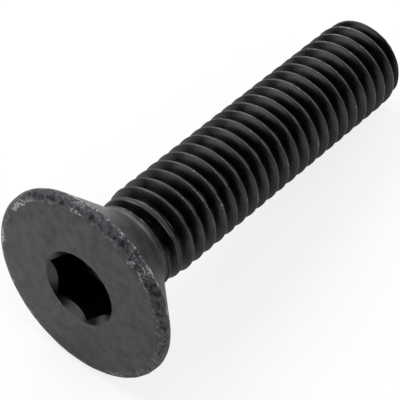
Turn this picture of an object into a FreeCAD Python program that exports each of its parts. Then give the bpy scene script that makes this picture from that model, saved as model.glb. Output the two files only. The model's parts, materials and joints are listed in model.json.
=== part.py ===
import FreeCAD, Part

import math
import os

# Countersunk socket screw, M3 x 14, forged and rolled from one steel blank.
# Lengths are in millimetres. The screw is modelled on its own axis, with the head's face at 0 and
# the tip at +Z, and then laid down as it comes to rest: on its head's rim and a crest near its tip.

# Head, a 90 degree countersink with a short straight land round its flat face
HEAD_DIAMETER = 6.20
LAND_END = 0.30
EDGE_RADIUS = 0.21
CONE_ANGLE = 90.0

# Hexagon socket, punched into the head, with a chamfered mouth and a pointed floor
SOCKET_ACROSS_FLATS = 2.04
SOCKET_DEPTH = 1.25
SOCKET_MOUTH_DIAMETER = 2.46
SOCKET_MOUTH_ANGLE = 90.0
SOCKET_FLOOR_ANGLE = 120.0
SOCKET_TURN = 43.8

# Neck: the cone runs through a fillet into a short collar, which steps down to the blank's diameter
COLLAR_DIAMETER = 2.79
COLLAR_LENGTH = 0.025
COLLAR_CHAMFER = 0.035
NECK_FILLET = 0.40
BLANK_DIAMETER = 2.62

# Thread, right-handed, with the outline of a rolled metric thread
THREAD_DIAMETER = 3.0
PITCH = 0.5
THREAD_DEPTH = 0.3067
CREST_WIDTH = 0.0625
FLANK_ANGLE = 60.0
FIRST_GROOVE = 2.38

# The thread's start: the first crest climbs steeply to a low height and then slowly to its full one,
# and the groove deepens from nothing over a short length beyond the neck
FIRST_CREST_DIAMETER = 2.83
FIRST_RISE = 0.07
FULL_RISE = 0.70
GROOVE_RUN_OUT = 0.30

# Overall length from the head's face, and the tip: the last crests are a little lower, because the
# blank tapers there, and end in a chamfer
LENGTH = 13.90
TAPER_LENGTH = 0.55
TAPER_END_DIAMETER = 2.89
TIP_DIAMETER = 2.35
TIP_ANGLE = 90.0

# How far construction solids pass beyond the faces that they cut or join, how far the cutters of the
# thread's ends are turned, and the head, so that its meshed rim lies on a flat and not on a corner
OVERRUN = 0.025
CUTTER_TURN = 200.0
HEAD_TURN = 3.2

head_radius = HEAD_DIAMETER / 2
collar_radius = COLLAR_DIAMETER / 2
blank_radius = BLANK_DIAMETER / 2
first_crest_radius = FIRST_CREST_DIAMETER / 2
thread_radius = THREAD_DIAMETER / 2
root_radius = thread_radius - THREAD_DEPTH
taper_end_radius = TAPER_END_DIAMETER / 2
tip_radius = TIP_DIAMETER / 2


def slope(full_angle):
    """How far a cone's side spreads for each millimetre along the axis."""
    return math.tan(math.radians(full_angle / 2))


# Places along the axis, from the head's face
neck_corner = LAND_END + (head_radius - collar_radius) / slope(CONE_ANGLE)
fillet_reach = NECK_FILLET * math.tan(math.radians(CONE_ANGLE / 4))
collar_end = neck_corner + fillet_reach + COLLAR_LENGTH
thread_start = collar_end + COLLAR_CHAMFER
chamfer_start = LENGTH - (taper_end_radius - tip_radius) / slope(TIP_ANGLE)
taper_start = chamfer_start - TAPER_LENGTH
taper_slope = (thread_radius - taper_end_radius) / TAPER_LENGTH


def at(radius, height):
    """A point of a turned outline: a radius from the axis and a height from the head's face."""
    return FreeCAD.Vector(radius, 0, height)


def lines(points):
    """Straight edges from each point to the next."""
    return [Part.LineSegment(start, end).toShape() for start, end in zip(points, points[1:])]


def turned(outline):
    """Turns a closed outline about the screw's axis."""
    face = Part.Face(Part.Wire(outline))
    return face.revolve(FreeCAD.Vector(0, 0, 0), FreeCAD.Vector(0, 0, 1), 360)


def arc(centre, radius, first, last):
    """A round stretch of an outline, between two directions in degrees from +X towards +Z."""
    angles = [math.radians(angle) for angle in (first, (first + last) / 2, last)]
    return Part.Arc(*[centre + radius * at(math.cos(angle), math.sin(angle)) for angle in angles]).toShape()


def head_and_neck():
    """The upset head with its cone, fillet and collar, down to the bottom of the first groove."""
    edge_centre = at(head_radius - EDGE_RADIUS, EDGE_RADIUS)
    fillet_centre = at(collar_radius + NECK_FILLET, neck_corner + fillet_reach)
    fillet_start = fillet_centre + NECK_FILLET * at(
        -math.cos(math.radians(CONE_ANGLE / 2)), -math.sin(math.radians(CONE_ANGLE / 2))
    )
    groove_slope = (blank_radius - root_radius) / GROOVE_RUN_OUT
    groove_end = thread_start + GROOVE_RUN_OUT + OVERRUN / groove_slope

    # the rounded edge is two arcs that meet at its middle
    outline = [arc(edge_centre, EDGE_RADIUS, -90, -45), arc(edge_centre, EDGE_RADIUS, -45, 0)]
    outline += lines([at(head_radius, EDGE_RADIUS), at(head_radius, LAND_END), fillet_start])
    outline += [arc(fillet_centre, NECK_FILLET, 180 + CONE_ANGLE / 2, 180)]
    outline += lines([
        at(collar_radius, neck_corner + fillet_reach),
        at(collar_radius, collar_end),
        at(blank_radius, thread_start),
        at(root_radius - OVERRUN, groove_end),
        at(0, groove_end),
        at(0, 0),
        at(head_radius - EDGE_RADIUS, 0),
    ])
    head = turned(outline)
    head.rotate(FreeCAD.Vector(0, 0, 0), FreeCAD.Vector(0, 0, 1), HEAD_TURN)
    return head


def helix_turn(radius, height):
    """One turn of a right-handed helix that starts above +X at a height."""
    helix = Part.makeHelix(PITCH, PITCH, radius).Edges[0]
    helix.translate(FreeCAD.Vector(0, 0, height))
    return helix


def threaded_bar(start, turns):
    """A bar with a full thread: ruled strips between helices, closed by a step at each end."""
    root_half = (PITCH - CREST_WIDTH) / 2 - THREAD_DEPTH * slope(FLANK_ANGLE)
    profile = [
        (root_radius, -root_half),
        (root_radius, root_half),
        (thread_radius, (PITCH - CREST_WIDTH) / 2),
        (thread_radius, (PITCH + CREST_WIDTH) / 2),
        (root_radius, PITCH - root_half),
    ]
    strips = []
    for turn in range(turns):
        edges = [helix_turn(radius, start + turn * PITCH + height) for radius, height in profile]
        strips += [Part.makeRuledSurface(first, second) for first, second in zip(edges, edges[1:])]
    for turn in (0, turns):
        bottom = start + turn * PITCH - root_half
        axis = Part.LineSegment(at(0, bottom), at(0, bottom + PITCH)).toShape()
        strips.append(Part.makeRuledSurface(axis, helix_turn(root_radius, bottom)))
        step = [at(0, bottom)] + [at(radius, start + turn * PITCH + height) for radius, height in profile]
        step += [at(0, bottom + PITCH), at(0, bottom)]
        strips.append(Part.Face(Part.makePolygon(step)))
    shell = Part.makeShell(strips)
    shell.sewShape(1e-4)
    return Part.makeSolid(shell)


def beyond_neck(bottom):
    """The space round the thread's start, outside the rise of its crests, down to a height."""
    rise_slope = (first_crest_radius - blank_radius) / FIRST_RISE
    full_slope = (thread_radius - first_crest_radius) / FULL_RISE
    outer = thread_radius + OVERRUN
    beneath = thread_start - (blank_radius - root_radius) / rise_slope
    first_height = thread_start + FIRST_RISE
    full_height = first_height + FULL_RISE + OVERRUN / full_slope
    return turned(lines([
        at(0, bottom), at(0, beneath), at(root_radius, beneath), at(first_crest_radius, first_height),
        at(outer, full_height), at(outer, bottom), at(0, bottom),
    ]))


def beyond_tip(top):
    """The space round the tip, outside its taper, chamfer and flat end, up to a height."""
    outer = thread_radius + OVERRUN
    taper_foot = taper_start - OVERRUN / taper_slope
    return turned(lines([
        at(0, LENGTH), at(tip_radius, LENGTH), at(taper_end_radius, chamfer_start), at(outer, taper_foot),
        at(outer, top), at(0, top), at(0, LENGTH),
    ]))


def thread():
    """The threaded shank, from under the neck to the tip."""
    turns_before = math.ceil((FIRST_GROOVE - collar_end) / PITCH) + 1
    start = FIRST_GROOVE - turns_before * PITCH
    turns = math.ceil((LENGTH - start) / PITCH) + 1
    bar = threaded_bar(start, turns)
    for beyond in (beyond_neck(start - 2 * PITCH), beyond_tip(start + (turns + 2) * PITCH)):
        # the cutter's seam goes to a side away from the joints between the thread's turns
        beyond.rotate(FreeCAD.Vector(0, 0, 0), FreeCAD.Vector(0, 0, 1), CUTTER_TURN)
        bar = bar.cut(beyond)
    return bar


def socket():
    """The punch: a hexagon with a conical end, and the cone that chamfers its mouth."""
    corner_radius = SOCKET_ACROSS_FLATS / math.sqrt(3)
    point_depth = SOCKET_DEPTH + corner_radius / slope(SOCKET_FLOOR_ANGLE)
    corners = []
    for corner in range(7):
        angle = math.radians(SOCKET_TURN + 60 * corner)
        corners.append(FreeCAD.Vector(corner_radius * math.cos(angle), corner_radius * math.sin(angle), -OVERRUN))
    prism = Part.Face(Part.makePolygon(corners)).extrude(FreeCAD.Vector(0, 0, point_depth + 2 * OVERRUN))
    wide = corner_radius + OVERRUN
    wide_depth = SOCKET_DEPTH - OVERRUN / slope(SOCKET_FLOOR_ANGLE)
    point = turned(lines([
        at(0, -2 * OVERRUN), at(wide, -2 * OVERRUN), at(wide, wide_depth), at(0, point_depth), at(0, -2 * OVERRUN),
    ]))
    mouth_radius = SOCKET_MOUTH_DIAMETER / 2 + OVERRUN * slope(SOCKET_MOUTH_ANGLE)
    mouth_depth = SOCKET_MOUTH_DIAMETER / 2 / slope(SOCKET_MOUTH_ANGLE)
    mouth = turned(lines([at(0, -OVERRUN), at(mouth_radius, -OVERRUN), at(0, mouth_depth), at(0, -OVERRUN)]))
    return prism.common(point).fuse(mouth)


def resting_lean():
    """How far the screw leans, in radians, on its head's rim and the crest that it touches first."""
    # far edges of the crests along the side that it lies on, half a turn from the top
    first_edge = FIRST_GROOVE + PITCH + CREST_WIDTH / 2
    crests = math.floor((chamfer_start - first_edge) / PITCH) + 1
    leans = []
    for crest in range(crests):
        height = first_edge + crest * PITCH
        radius = thread_radius - max(height - taper_start, 0) * taper_slope
        leans.append(math.atan((head_radius - radius) / (height - LAND_END)))
    return min(leans)


def laid_down(screw):
    """Lays the screw along +X on its head's rim and a crest, with the origin below its middle."""
    lean = resting_lean()
    sine, cosine = math.sin(lean), math.cos(lean)
    screw.rotate(FreeCAD.Vector(0, 0, 0), FreeCAD.Vector(0, 0, 1), 180)
    screw.rotate(FreeCAD.Vector(0, 0, 0), FreeCAD.Vector(0, 1, 0), 90 + math.degrees(lean))
    back = EDGE_RADIUS * cosine - (head_radius - EDGE_RADIUS) * sine - EDGE_RADIUS
    front = LENGTH * cosine + tip_radius * sine
    bottom = -LAND_END * sine - head_radius * cosine
    screw.translate(FreeCAD.Vector(-(back + front) / 2, 0, -bottom))
    return screw


screw = head_and_neck().fuse(thread()).cut(socket())
screw = laid_down(screw.Solids[0])

os.makedirs("parts", exist_ok=True)
screw.exportStep("parts/screw.step")
print("screw valid", screw.isValid(), "volume", round(screw.Volume, 3))
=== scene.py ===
import bpy
import json
import math
from mathutils import Matrix, Vector, noise


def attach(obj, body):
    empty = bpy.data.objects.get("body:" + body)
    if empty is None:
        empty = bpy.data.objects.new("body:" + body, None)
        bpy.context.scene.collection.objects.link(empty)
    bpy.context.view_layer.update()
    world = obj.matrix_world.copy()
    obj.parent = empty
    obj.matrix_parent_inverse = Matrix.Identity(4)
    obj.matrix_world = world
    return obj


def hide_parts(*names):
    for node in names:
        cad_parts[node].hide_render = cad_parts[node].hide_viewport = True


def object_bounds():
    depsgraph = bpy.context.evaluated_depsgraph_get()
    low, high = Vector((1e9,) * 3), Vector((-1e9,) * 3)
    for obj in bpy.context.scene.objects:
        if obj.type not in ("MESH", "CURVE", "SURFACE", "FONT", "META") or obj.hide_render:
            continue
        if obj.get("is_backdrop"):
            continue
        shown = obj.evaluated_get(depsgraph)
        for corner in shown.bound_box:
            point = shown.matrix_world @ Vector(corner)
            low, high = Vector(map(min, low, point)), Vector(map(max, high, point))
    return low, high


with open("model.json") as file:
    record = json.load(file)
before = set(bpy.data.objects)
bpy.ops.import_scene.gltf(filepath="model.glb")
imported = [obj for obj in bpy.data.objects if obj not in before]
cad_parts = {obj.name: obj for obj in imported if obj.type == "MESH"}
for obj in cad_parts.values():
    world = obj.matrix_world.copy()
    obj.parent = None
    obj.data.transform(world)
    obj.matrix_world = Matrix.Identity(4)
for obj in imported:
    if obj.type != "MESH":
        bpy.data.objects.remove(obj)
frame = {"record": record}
cad_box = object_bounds()

# The screw as a whole: one piece of steel, cold headed, rolled and blackened. It lies on its head's rim
# and a crest near its tip, so its axis leans down to the tip. Everything on it is turned about that axis, so
# its mesh is made in rings of points about the axis, measured from the head's face towards the tip.
MM = 0.001
COLUMNS = 168
SOCKET_DEPTH = 1.25
SOCKET_CORNER_ANGLE = 43.8

mounts = {mount["name"]: mount for mount in frame["record"]["mounts"]}
to_tip = Vector(mounts["thread"]["axis"]).normalized()
across = Vector((0, -1, 0))
upward = across.cross(to_tip)
# the socket's mount lies halfway down the socket
face_centre = Vector(mounts["hex_socket"]["pos_m"]) - to_tip * (SOCKET_DEPTH / 2 * MM)
lying = Matrix.Translation(face_centre) @ Matrix((upward, across, to_tip)).transposed().to_4x4()

# each point also holds, from 0 to 1, how far its skin is forged land, worn edge, crest or matt, and how far
# it lies down a groove or the socket, where its colour is darkened as painted shade
vertices = []
faces = []
skin_kinds = {"land": [], "edge": [], "crest": [], "matt": [], "groove": []}


def column_angle(column):
    """The direction of a column of points about the axis; a column lies on each corner of the socket."""
    return math.radians(SOCKET_CORNER_ANGLE) + 2 * math.pi * column / COLUMNS


def around_axis(radius, height, column):
    """The place of a point in the screw's own frame, in millimetres."""
    angle = column_angle(column)
    return Vector((radius * math.cos(angle), radius * math.sin(angle), height))


def add_point(radius, height, column, **skin):
    """Adds a point of the screw with the kinds of its skin, each from 0 to 1, and gives its number."""
    vertices.append(lying @ (around_axis(radius, height, column) * MM))
    for kind, amounts in skin_kinds.items():
        amounts.append(skin.get(kind, 0.0))
    return len(vertices) - 1


def join_rings(near, far):
    """Joins two rings of points, the one nearer to the tip first."""
    for column in range(COLUMNS):
        beside = (column + 1) % COLUMNS
        faces.append((near[column], far[column], far[beside], near[beside]))


def arc_points(centre_radius, centre_height, bend, first, last, count):
    """Points of a round stretch, between two directions in degrees from outward towards the tip."""
    points = []
    for step in range(count):
        angle = math.radians(first + (last - first) * step / (count - 1))
        points.append((centre_radius + bend * math.cos(angle), centre_height + bend * math.sin(angle)))
    return points


# The head: upset from the wire into a 90 degree countersink with a flat face. The short land round the
# face isn't machined, so it stays rough, and handling has worn its two edges to bare steel in places.
HEAD_RADIUS = 3.10
LAND_END = 0.30
LAND_MIDDLE = 0.24
EDGE_RADIUS = 0.21
RIM_RADIUS = 0.03
CONE_HALF_ANGLE = 45
CONE_RINGS = 10
FACE_RINGS = 8
NECK_FILLET = 0.40
COLLAR_RADIUS = 1.395
COLLAR_LENGTH = 0.025
COLLAR_ROUNDING = 0.03
ROUNDING_SETBACK = 0.006
COLLAR_CHAMFER = 0.035
BLANK_RADIUS = 1.31
MOUTH_RADIUS = 1.23

# the land's dents are as wide as its grain and its pits wider; GRAIN_TO_PIT is a grain's width over a pit's
LAND_DENTS = 0.012
LAND_PITS = 0.018
LAND_GRAIN = 0.11
GRAIN_TO_PIT = 0.37

# the skin of each stretch; the collar's forged, matt skin fades out step by step along the neck's fillet
# the collar's foot lies deep in the first groove and gets the full painted shade
FOOT_SKIN = {"matt": 0.4, "groove": 1.0}
COLLAR_SKIN = {"land": 0.6, "edge": 0.2, "matt": 1.0}
CONE_SKIN = {"matt": 0.6}
RIM_SKIN = {"land": 0.5, "edge": 1.0, "matt": 0.8}
LAND_SKIN = {"land": 1.0, "edge": 0.1, "matt": 1.0}
FACE_EDGE_SKIN = {"land": 0.7, "edge": 0.3, "matt": 0.7}
NECK_LAND = 0.5
NECK_MATT = 0.9
NECK_FADE = 0.1

# a bend between the cone and a straight stretch takes this share of its radius on each side of its corner
bend_reach = math.tan(math.radians(CONE_HALF_ANGLE / 2))
rim_reach = RIM_RADIUS * bend_reach
# towards the tip the cone narrows by as much as it gets longer
neck_corner = LAND_END + HEAD_RADIUS - COLLAR_RADIUS
fillet_end = neck_corner + NECK_FILLET * bend_reach
collar_end = fillet_end + COLLAR_LENGTH
thread_start = collar_end + COLLAR_CHAMFER

# the outline from the collar's foot over the rim and the face, as far as the mouth: radius, height and skin
outline = [(BLANK_RADIUS, thread_start, FOOT_SKIN)]
collar_curve = arc_points(
    COLLAR_RADIUS - COLLAR_ROUNDING, collar_end - ROUNDING_SETBACK, COLLAR_ROUNDING,
    first=70, last=0, count=5,
)
outline += [(radius, height, COLLAR_SKIN) for radius, height in collar_curve]
neck_curve = arc_points(
    COLLAR_RADIUS + NECK_FILLET, fillet_end, NECK_FILLET, first=180, last=180 + CONE_HALF_ANGLE, count=9
)
for step, (radius, height) in enumerate(neck_curve):
    land = max(NECK_LAND - NECK_FADE * step, 0.0)
    matt = max(NECK_MATT - NECK_FADE * step, CONE_SKIN["matt"])
    outline.append((radius, height, {"land": land, "matt": matt}))
cone_start_radius, cone_start_height = neck_curve[-1]
cone_end_radius = HEAD_RADIUS - rim_reach * math.sin(math.radians(CONE_HALF_ANGLE))
for step in range(1, CONE_RINGS):
    radius = cone_start_radius + (cone_end_radius - cone_start_radius) * step / CONE_RINGS
    outline.append((radius, cone_start_height - (radius - cone_start_radius), CONE_SKIN))
rim_curve = arc_points(
    HEAD_RADIUS - RIM_RADIUS, LAND_END - rim_reach, RIM_RADIUS, first=CONE_HALF_ANGLE, last=0, count=4
)
outline += [(radius, height, RIM_SKIN) for radius, height in rim_curve]
outline.append((HEAD_RADIUS, LAND_MIDDLE, LAND_SKIN))
edge_curve = arc_points(HEAD_RADIUS - EDGE_RADIUS, EDGE_RADIUS, EDGE_RADIUS, first=0, last=-90, count=8)
outline += [(radius, height, LAND_SKIN) for radius, height in edge_curve[:-2]]
outline += [(radius, height, FACE_EDGE_SKIN) for radius, height in edge_curve[-2:]]
face_edge = HEAD_RADIUS - EDGE_RADIUS
for step in range(1, FACE_RINGS):
    outline.append((face_edge + (MOUTH_RADIUS - face_edge) * step / FACE_RINGS, 0.0, {}))

head_rings = []
for radius, height, skin in outline:
    land = skin.get("land", 0.0)
    ring = []
    for column in range(COLUMNS):
        spot = around_axis(radius, height, column) / LAND_GRAIN
        dent = LAND_DENTS * land * (0.5 + 0.5 * noise.noise(spot))
        pit = LAND_PITS * land * max(0.0, noise.noise(spot * GRAIN_TO_PIT))
        ring.append(add_point(radius - dent - pit, height + dent * (1 - land), column, **skin))
    head_rings.append(ring)
for near, far in zip(head_rings, head_rings[1:]):
    join_rings(near, far)
neck_ring = head_rings[0]

# The socket: a hexagon punched into the face for a 2 mm key, with a chamfered mouth and a pointed floor.
# Keys have rubbed its mouth's edge, and its chamfer and its walls are darkened as painted shade.
SOCKET_APOTHEM = 1.02
CORNER_STEP = 60
FLOOR_HALF_ANGLE = 60
CHAMFER_RINGS = 5
WALL_RINGS = 6
FLOOR_RINGS = 5
MOUTH_WEAR = 0.25
# painted shade: how far the socket's chamfer and walls are darkened
CHAMFER_SHADE = 0.3
WALL_SHADE = 1.0

floor_slope = math.tan(math.radians(FLOOR_HALF_ANGLE))
socket_corner = SOCKET_APOTHEM / math.cos(math.radians(CORNER_STEP / 2))
floor_point = SOCKET_DEPTH + socket_corner / floor_slope


def hexagon_radius(column):
    """Distance from the axis to the socket's wall in a column's direction."""
    past_corner = math.degrees(column_angle(column)) - SOCKET_CORNER_ANGLE
    return SOCKET_APOTHEM / math.cos(math.radians(past_corner % CORNER_STEP - CORNER_STEP / 2))


socket_rings = [[add_point(MOUTH_RADIUS, 0.0, column, edge=MOUTH_WEAR) for column in range(COLUMNS)]]
for step in range(1, CHAMFER_RINGS + 1):
    ring = []
    for column in range(COLUMNS):
        wall = hexagon_radius(column)
        radius = MOUTH_RADIUS + (wall - MOUTH_RADIUS) * step / CHAMFER_RINGS
        ring.append(add_point(radius, MOUTH_RADIUS - radius, column, groove=CHAMFER_SHADE))
    socket_rings.append(ring)
for step in range(1, WALL_RINGS + 1):
    ring = []
    for column in range(COLUMNS):
        wall = hexagon_radius(column)
        top = MOUTH_RADIUS - wall
        bottom = floor_point - wall / floor_slope
        ring.append(add_point(wall, top + (bottom - top) * step / WALL_RINGS, column, groove=WALL_SHADE))
    socket_rings.append(ring)
for step in range(1, FLOOR_RINGS):
    ring = []
    for column in range(COLUMNS):
        radius = hexagon_radius(column) * (1 - step / FLOOR_RINGS)
        ring.append(add_point(radius, floor_point - radius / floor_slope, column))
    socket_rings.append(ring)
join_rings(head_rings[-1], socket_rings[0])
for near, far in zip(socket_rings, socket_rings[1:]):
    join_rings(near, far)
floor_middle = add_point(0.0, floor_point, 0)
for column in range(COLUMNS):
    faces.append((socket_rings[-1][column], floor_middle, socket_rings[-1][(column + 1) % COLUMNS]))

# The thread: rolled between flat dies, so its roots are round and its flanks smooth. The dies squeeze the
# first crest up only in part, so it is low, wide and matt, and every crest has small nicks from the other
# screws in the box.
LENGTH = 13.90
THREAD_RADIUS = 1.50
PITCH = 0.5
THREAD_DEPTH = 0.3067
CREST_WIDTH = 0.0625
FLANK_HALF_ANGLE = 30
FLANK_STEPS = 3
ROUND_TURNS = (0, 20, 40, 60)
ROOT_ROUNDING = PITCH * math.sqrt(3) / 2 / 6
CREST_ROUNDING = 0.040
FIRST_GROOVE = 2.38
FIRST_CREST_RADIUS = 1.415
FIRST_RISE = 0.07
FIRST_CREST_LENGTH = 0.40
FULL_RISE = 0.30
GROOVE_RUN_OUT = 0.30
TAPER_LENGTH = 0.55
TAPER_END_RADIUS = 1.445
TIP_RADIUS = 1.175
TIP_WEAR = 0.3
NICK_SPACING = 0.32
NICK_DEPTH = 0.0192
NICK_FROM = 0.25
CREST_FADE = 0.03
UNROLLED_MATT = 0.8
UNROLLED_RANGE = 0.04
# the painted shade down a groove starts this far below the crest and darkens fully over this depth
GROOVE_TOP = 0.04
GROOVE_FADE = 0.18
SNAP = 0.004

root_radius = THREAD_RADIUS - THREAD_DEPTH
taper_start = LENGTH - (TAPER_END_RADIUS - TIP_RADIUS) - TAPER_LENGTH


def limited(value):
    """A value kept between 0 and 1."""
    return min(max(value, 0.0), 1.0)


def half_profile():
    """Half of one groove's outline, from its bottom to the middle of the crest: (height, radius)."""
    points = []
    for degrees in ROUND_TURNS:
        turn = math.radians(degrees)
        points.append((ROOT_ROUNDING * math.sin(turn), root_radius + ROOT_ROUNDING * (1 - math.cos(turn))))
    flank = math.radians(FLANK_HALF_ANGLE)
    crest_edge = (PITCH - CREST_WIDTH) / 2
    reach = CREST_ROUNDING * math.tan(flank)
    flank_top = (crest_edge - reach * math.sin(flank), THREAD_RADIUS - reach * math.cos(flank))
    flank_bottom = points[-1]
    for step in range(1, FLANK_STEPS):
        part = step / FLANK_STEPS
        points.append(tuple(low + (high - low) * part for low, high in zip(flank_bottom, flank_top)))
    for degrees in reversed(ROUND_TURNS):
        turn = math.radians(degrees)
        height = crest_edge + reach - CREST_ROUNDING * math.sin(turn)
        points.append((height, THREAD_RADIUS - CREST_ROUNDING * (1 - math.cos(turn))))
    return points


rising = half_profile()
falling = [(PITCH - height, radius) for height, radius in rising[:0:-1]]
profile = rising + [(PITCH / 2, THREAD_RADIUS)] + falling


def crest_limit(height):
    """How far out a crest may reach: it rises at the neck, and falls with the tip's taper and chamfer."""
    steep = BLANK_RADIUS + (FIRST_CREST_RADIUS - BLANK_RADIUS) * (height - thread_start) / FIRST_RISE
    past_rise = height - thread_start - FIRST_RISE
    past_low = max(past_rise - FIRST_CREST_LENGTH, 0.0)
    slow = FIRST_CREST_RADIUS + (THREAD_RADIUS - FIRST_CREST_RADIUS) * past_low / FULL_RISE
    start = slow if past_rise > 0 else max(steep, BLANK_RADIUS)
    past_taper = max(height - taper_start, 0.0)
    taper = THREAD_RADIUS - (THREAD_RADIUS - TAPER_END_RADIUS) * past_taper / TAPER_LENGTH
    chamfer = TIP_RADIUS + LENGTH - height
    return min(start, taper, chamfer)


def groove_floor(height):
    """How deep the groove may reach at a height: it starts shallow beside the neck."""
    return BLANK_RADIUS + (root_radius - BLANK_RADIUS) * limited((height - thread_start) / GROOVE_RUN_OUT)


def nicked(radius, height, column):
    """A crest's radius with its small dents, which lie where the noise is above NICK_FROM."""
    spot = around_axis(radius, height, column) / NICK_SPACING
    return radius - NICK_DEPTH * max(0.0, noise.noise(spot) - NICK_FROM)


# the helix begins at least a turn before the thread, where all its points fall on the neck's ring
turn_offset = column_angle(0) / (2 * math.pi)
turns_back = math.ceil((FIRST_GROOVE - thread_start) / PITCH + turn_offset) + 1
first_bottom = FIRST_GROOVE + (turn_offset - turns_back) * PITCH
helix_columns = math.ceil((LENGTH - first_bottom) / PITCH * COLUMNS)
tip_ring = [add_point(TIP_RADIUS, LENGTH, column, edge=TIP_WEAR) for column in range(COLUMNS)]
helix_points = {}


def thread_point(column, row):
    """A point of the helix by column and row; within SNAP of an end, or past it, it is on its ring."""
    if row == len(profile):
        column, row = column + COLUMNS, 0
    if (column, row) not in helix_points:
        profile_height, profile_radius = profile[row]
        height = first_bottom + PITCH * column / COLUMNS + profile_height
        around = column % COLUMNS
        if height < thread_start + SNAP:
            helix_points[column, row] = neck_ring[around]
        elif height > LENGTH - SNAP:
            helix_points[column, row] = tip_ring[around]
        else:
            limit = crest_limit(height)
            crest = max(0.0, (profile_radius - THREAD_RADIUS + CREST_FADE) / CREST_FADE)
            unrolled = UNROLLED_MATT * limited((profile_radius - limit) / UNROLLED_RANGE)
            radius = min(profile_radius, limit)
            if crest:
                radius = nicked(radius, height, around)
            radius = max(radius, groove_floor(height))
            # painted shade: the colour darkens down the flanks towards the root, except on the matt unrolled
            # crest
            groove_shade = limited((THREAD_RADIUS - GROOVE_TOP - radius) / GROOVE_FADE) * (1 - unrolled)
            helix_points[column, row] = add_point(
                radius, height, around, crest=crest, matt=unrolled, groove=groove_shade
            )
    return helix_points[column, row]


for column in range(helix_columns):
    for row in range(len(profile)):
        corners = [
            thread_point(column, row),
            thread_point(column, row + 1),
            thread_point(column + 1, row + 1),
            thread_point(column + 1, row),
        ]
        # corners that lie on one point of an end's ring count once
        kept = [corner for number, corner in enumerate(corners) if corner != corners[number - 1]]
        if len(kept) > 2 and len(set(kept)) == len(kept):
            faces.append(tuple(kept[::-1]))

# The tip: the wire's sheared end, left flat inside the chamfer. It closes the mesh, which then gets its
# sharp edges, such as the socket's corners, and stands for the whole screw.
TIP_RINGS = 4
SHARP_ANGLE = 32

inner = tip_ring
for step in range(1, TIP_RINGS):
    ring = [add_point(TIP_RADIUS * (1 - step / TIP_RINGS), LENGTH, column) for column in range(COLUMNS)]
    join_rings(ring, inner)
    inner = ring
tip_middle = add_point(0.0, LENGTH, 0)
for column in range(COLUMNS):
    faces.append((tip_middle, inner[column], inner[(column + 1) % COLUMNS]))

mesh = bpy.data.meshes.new("screw_body")
mesh.from_pydata(vertices, [], faces)
for kind, amounts in skin_kinds.items():
    attribute = mesh.attributes.new(kind, "FLOAT", "POINT")
    attribute.data.foreach_set("value", amounts)
mesh.shade_smooth()
mesh.set_sharp_from_angle(angle=math.radians(SHARP_ANGLE))
mesh.update()
screw = bpy.data.objects.new("screw_body", mesh)
bpy.context.scene.collection.objects.link(screw)
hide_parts("screw")
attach(screw, "root")


# Black oxide on cold-formed steel: a thin layer of magnetite, grown in a hot salt bath and oiled. It
# mirrors softly and darkly like the metal below, is matt and mottled where the forging left it rough,
# and is worn off to bright specks along the land's edges and on the crests.
def linear(hex_colour):
    """A colour written as sRGB hex, as the linear values that a shader takes."""
    channels = []
    for start in (1, 3, 5):
        value = int(hex_colour[start:start + 2], 16) / 255
        channels.append(value / 12.92 if value <= 0.04045 else ((value + 0.055) / 1.055) ** 2.4)
    return (*channels, 1.0)


def add_node(tree, kind, settings=None, values=None, links=None):
    """Adds a node with its settings, its fixed values and what feeds its inputs."""
    node = tree.nodes.new(kind)
    for name, value in (settings or {}).items():
        setattr(node, name, value)
    for name, value in (values or {}).items():
        node.inputs[name].default_value = value
    for name, source in (links or {}).items():
        tree.links.new(source, node.inputs[name])
    return node


OXIDE_COLOUR = "#474748"
OXIDE_DARK = "#343435"
# painted shade, mixed in down the grooves and in the socket
GROOVE_SHADE_COLOUR = "#2a2a2b"
# a painted highlight, mixed in along the crests
CREST_HIGHLIGHT_COLOUR = "#4d4d4e"
FORGED_COLOUR = "#626266"
FORGED_DARK = "#2a2a2d"
BARE_STEEL = "#a8a8ac"

# the patterns' sizes in millimetres; the oxide's own grain is finer, and is drawn this coarse to show
MOTTLE_SIZE = 0.36
BLOTCH_SIZE = 0.14
CLUSTER_SIZE = 1.30
FLECK_SIZE = 0.06
GRAIN_SIZE = 0.03
PATTERN_ROUGHNESS = 0.6
RELIEF = 0.02

oxide = bpy.data.materials.new("black_oxide_steel")
oxide.use_nodes = True
tree = oxide.node_tree
tree.nodes.clear()
place = add_node(tree, "ShaderNodeTexCoord").outputs["Object"]
amount_of = {}
for kind in skin_kinds:
    amount_of[kind] = add_node(tree, "ShaderNodeAttribute", {"attribute_name": kind}).outputs["Fac"]
patterns = {}
for name, size, detail, distortion in (
    ("mottle", MOTTLE_SIZE, 6.0, 0.0),
    ("blotch", BLOTCH_SIZE, 4.0, 0.3),
    ("cluster", CLUSTER_SIZE, 2.0, 0.0),
    ("fleck", FLECK_SIZE, 4.0, 0.8),
    ("grain", GRAIN_SIZE, 3.0, 0.0),
):
    patterns[name] = add_node(
        tree, "ShaderNodeTexNoise",
        values={
            "Scale": 1 / (size * MM), "Detail": detail,
            "Roughness": PATTERN_ROUGHNESS, "Distortion": distortion,
        },
        links={"Vector": place},
    ).outputs["Fac"]

# the forged skin of the land and collar has a ragged border, because the patterns are added to its share
BORDER_BLOTCH = 1.0
BORDER_MOTTLE = 1.2
BORDER_RANGE = (1.55, 1.75)
ragged = amount_of["land"]
for name, amount in (("blotch", BORDER_BLOTCH), ("mottle", BORDER_MOTTLE)):
    ragged = add_node(
        tree, "ShaderNodeMath", {"operation": "MULTIPLY_ADD"}, {1: amount}, {0: patterns[name], 2: ragged}
    ).outputs[0]
forged = add_node(
    tree, "ShaderNodeMapRange", values={"From Min": BORDER_RANGE[0], "From Max": BORDER_RANGE[1]},
    links={"Value": ragged},
).outputs["Result"]

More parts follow.
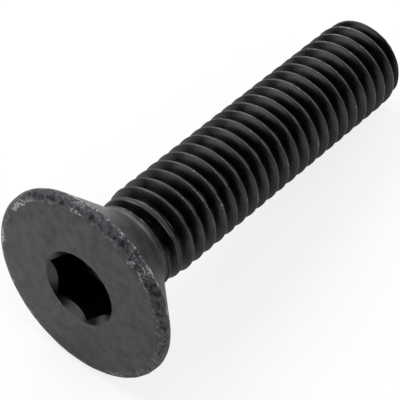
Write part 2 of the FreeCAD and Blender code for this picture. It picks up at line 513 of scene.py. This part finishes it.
# smooth oxide and forged skin each vary between a dark and a light colour
MOTTLE_RANGE = (0.3, 0.6)
BLOTCH_RANGE = (0.35, 0.65)
varied = {}
for name, (low, high), dark, light in (
    ("mottle", MOTTLE_RANGE, OXIDE_DARK, OXIDE_COLOUR),
    ("blotch", BLOTCH_RANGE, FORGED_DARK, FORGED_COLOUR),
):
    varying = add_node(
        tree, "ShaderNodeMapRange", values={"From Min": low, "From Max": high},
        links={"Value": patterns[name]},
    ).outputs["Result"]
    varied[name] = add_node(
        tree, "ShaderNodeMix", {"data_type": "RGBA"}, {"A": linear(dark), "B": linear(light)},
        {"Factor": varying},
    ).outputs["Result"]

# the grooves and the socket are darkened as painted shade, and the crests painted a little paler as a painted
# highlight
skin_colour = varied["mottle"]
for kind, colour in (("groove", GROOVE_SHADE_COLOUR), ("crest", CREST_HIGHLIGHT_COLOUR)):
    skin_colour = add_node(
        tree, "ShaderNodeMix", {"data_type": "RGBA"}, {"B": linear(colour)},
        {"Factor": amount_of[kind], "A": skin_colour},
    ).outputs["Result"]
skin_colour = add_node(
    tree, "ShaderNodeMix", {"data_type": "RGBA"},
    links={"Factor": forged, "A": skin_colour, "B": varied["blotch"]},
).outputs["Result"]

# bare steel shows as flecks in clusters, most along the worn edges and fewer on the land and the crests
EDGE_WEAR = 0.29
FORGED_WEAR = 0.26
CREST_WEAR = 0.28
CLUSTER_WEAR = 0.9
FLECK_WEAR = 1.0
BARE_RANGE = (1.40, 1.49)
worn = add_node(
    tree, "ShaderNodeMath", {"operation": "MULTIPLY"}, {1: EDGE_WEAR}, {0: amount_of["edge"]}
).outputs[0]
for source, amount in (
    (forged, FORGED_WEAR),
    (amount_of["crest"], CREST_WEAR),
    (patterns["cluster"], CLUSTER_WEAR),
    (patterns["fleck"], FLECK_WEAR),
):
    worn = add_node(
        tree, "ShaderNodeMath", {"operation": "MULTIPLY_ADD"}, {1: amount}, {0: source, 2: worn}
    ).outputs[0]
bare = add_node(
    tree, "ShaderNodeMapRange", values={"From Min": BARE_RANGE[0], "From Max": BARE_RANGE[1]},
    links={"Value": worn},
).outputs["Result"]
surface_colour = add_node(
    tree, "ShaderNodeMix", {"data_type": "RGBA"}, {"B": linear(BARE_STEEL)},
    {"Factor": bare, "A": skin_colour},
).outputs["Result"]

# the drawn and rolled faces are smooth, the forged skin is matt, and the crests are nearly as matt
SHEEN_RANGE = (0.3, 0.7)
SMOOTH_ROUGHNESS = (0.23, 0.33)
MATT_ROUGHNESS = 0.26
CREST_ROUGHNESS = 0.22
roughness = add_node(
    tree, "ShaderNodeMapRange",
    values={
        "From Min": SHEEN_RANGE[0], "From Max": SHEEN_RANGE[1],
        "To Min": SMOOTH_ROUGHNESS[0], "To Max": SMOOTH_ROUGHNESS[1],
    },
    links={"Value": patterns["mottle"]},
).outputs["Result"]
for kind, amount in (("matt", MATT_ROUGHNESS), ("crest", CREST_ROUGHNESS)):
    roughness = add_node(
        tree, "ShaderNodeMath", {"operation": "MULTIPLY_ADD"}, {1: amount}, {0: amount_of[kind], 2: roughness}
    ).outputs[0]

# the forged skin is rough to the touch, and the rest hardly
FORGED_RELIEF = 0.4
SMOOTH_RELIEF = 0.08
relief = add_node(
    tree, "ShaderNodeMath", {"operation": "ADD"}, links={0: patterns["blotch"], 1: patterns["grain"]}
).outputs[0]
relief_strength = add_node(
    tree, "ShaderNodeMath", {"operation": "MULTIPLY_ADD"}, {1: FORGED_RELIEF, 2: SMOOTH_RELIEF}, {0: forged}
).outputs[0]
bump = add_node(
    tree, "ShaderNodeBump", values={"Distance": RELIEF * MM},
    links={"Height": relief, "Strength": relief_strength},
).outputs["Normal"]
steel = add_node(
    tree, "ShaderNodeBsdfPrincipled", values={"Metallic": 1.0},
    links={"Base Color": surface_colour, "Roughness": roughness, "Normal": bump},
).outputs["BSDF"]
add_node(tree, "ShaderNodeOutputMaterial", links={"Surface": steel})
mesh.materials.append(oxide)

# The studio: a white paper floor under the screw and five large soft lamps round it in a dark room. The left
# one lights the face most, the one behind the tip the cone, and the one before the head the flanks and the
# socket. The right one and the one above draw lines along the crests.
FLOOR_SIZE = 1.0
PAPER_COLOUR = "#ffffff"
PAPER_GLOW = 1.0
CAMERA_GLOW = 0.8
MIRRORED_GLOW = 0.1
WORLD_COLOUR = "#ffffff"
WORLD_STRENGTH = 0.005
LAMP_DISTANCE = 0.2

floor_mesh = bpy.data.meshes.new("floor")
reach = FLOOR_SIZE / 2
floor_mesh.from_pydata(
    [(-reach, -reach, 0), (reach, -reach, 0), (reach, reach, 0), (-reach, reach, 0)], [], [(0, 1, 2, 3)]
)
floor = bpy.data.objects.new("floor", floor_mesh)
bpy.context.scene.collection.objects.link(floor)
floor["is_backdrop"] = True

# the paper glows white for the camera, a little in the steel's reflections, and still takes a shadow
paper = bpy.data.materials.new("white_paper")
paper.use_nodes = True
tree = paper.node_tree
tree.nodes.clear()
ray = add_node(tree, "ShaderNodeLightPath").outputs
glowing = add_node(
    tree, "ShaderNodeMath", {"operation": "MULTIPLY"}, {1: CAMERA_GLOW}, {0: ray["Is Camera Ray"]}
).outputs[0]
for ray_kind in ("Is Glossy Ray", "Is Transmission Ray"):
    glowing = add_node(
        tree, "ShaderNodeMath", {"operation": "MULTIPLY_ADD", "use_clamp": True}, {1: MIRRORED_GLOW},
        {0: ray[ray_kind], 2: glowing},
    ).outputs[0]
sheet = add_node(tree, "ShaderNodeBsdfDiffuse", values={"Color": linear(PAPER_COLOUR)}).outputs[0]
glow = add_node(tree, "ShaderNodeEmission", values={"Strength": PAPER_GLOW}).outputs[0]
both = add_node(tree, "ShaderNodeMixShader", links={0: glowing, 1: sheet, 2: glow}).outputs[0]
add_node(tree, "ShaderNodeOutputMaterial", links={"Surface": both})
floor_mesh.materials.append(paper)

world = bpy.data.worlds.new("studio")
world.use_nodes = True
background = world.node_tree.nodes["Background"].inputs
background["Color"].default_value = linear(WORLD_COLOUR)
background["Strength"].default_value = WORLD_STRENGTH
bpy.context.scene.world = world


def soft_lamp(name, azimuth, elevation, width, height, strength):
    """A soft box aimed at the screw, from a direction in degrees; strength 1 makes paper facing it white."""
    turn, rise = math.radians(azimuth), math.radians(elevation)
    away = Vector((math.cos(rise) * math.cos(turn), math.cos(rise) * math.sin(turn), math.sin(rise)))
    light = bpy.data.lights.new(name, "AREA")
    light.shape = "RECTANGLE"
    light.size = width
    light.size_y = height
    light.energy = strength * LAMP_DISTANCE ** 2 * math.pi * 4
    lamp = bpy.data.objects.new(name, light)
    lamp.location = away * LAMP_DISTANCE
    lamp.rotation_euler = (-away).to_track_quat("-Z", "Y").to_euler()
    lamp.visible_camera = False
    bpy.context.scene.collection.objects.link(lamp)


soft_lamp("lamp_left_side", azimuth=88, elevation=45, width=0.13, height=0.12, strength=0.52)
soft_lamp("lamp_right_side", azimuth=270, elevation=45, width=0.12, height=0.12, strength=0.27)
soft_lamp("lamp_behind_tip", azimuth=15, elevation=15, width=0.24, height=0.09, strength=0.60)
soft_lamp("lamp_before_head", azimuth=160, elevation=30, width=0.15, height=0.12, strength=0.20)
soft_lamp("lamp_above", azimuth=0, elevation=85, width=0.12, height=0.12, strength=0.13)

# The camera: above and before the head, on a long lens close to the screw. Its place and direction come from
# the photograph's perspective, which sets how much smaller the tip looks than the head.
CAMERA_MM = (-28.872, -22.648, 44.811)
CAMERA_TURN = (39.739, 0.083, -50.532)
LENS_MM = 168.3
SENSOR_MM = 36
CLIP_START_MM = 1

camera_data = bpy.data.cameras.new("camera")
camera_data.lens = LENS_MM
camera_data.sensor_width = SENSOR_MM
camera_data.clip_start = CLIP_START_MM * MM
camera = bpy.data.objects.new("camera", camera_data)
camera.location = Vector(CAMERA_MM) * MM
camera.rotation_euler = [math.radians(turn) for turn in CAMERA_TURN]
bpy.context.scene.collection.objects.link(camera)
bpy.context.scene.camera = camera
bpy.context.scene.view_settings.view_transform = "Standard"

size = {
    "cad": [list(map(float, corner)) for corner in cad_box],
    "visual": [list(map(float, corner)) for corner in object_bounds()],
}
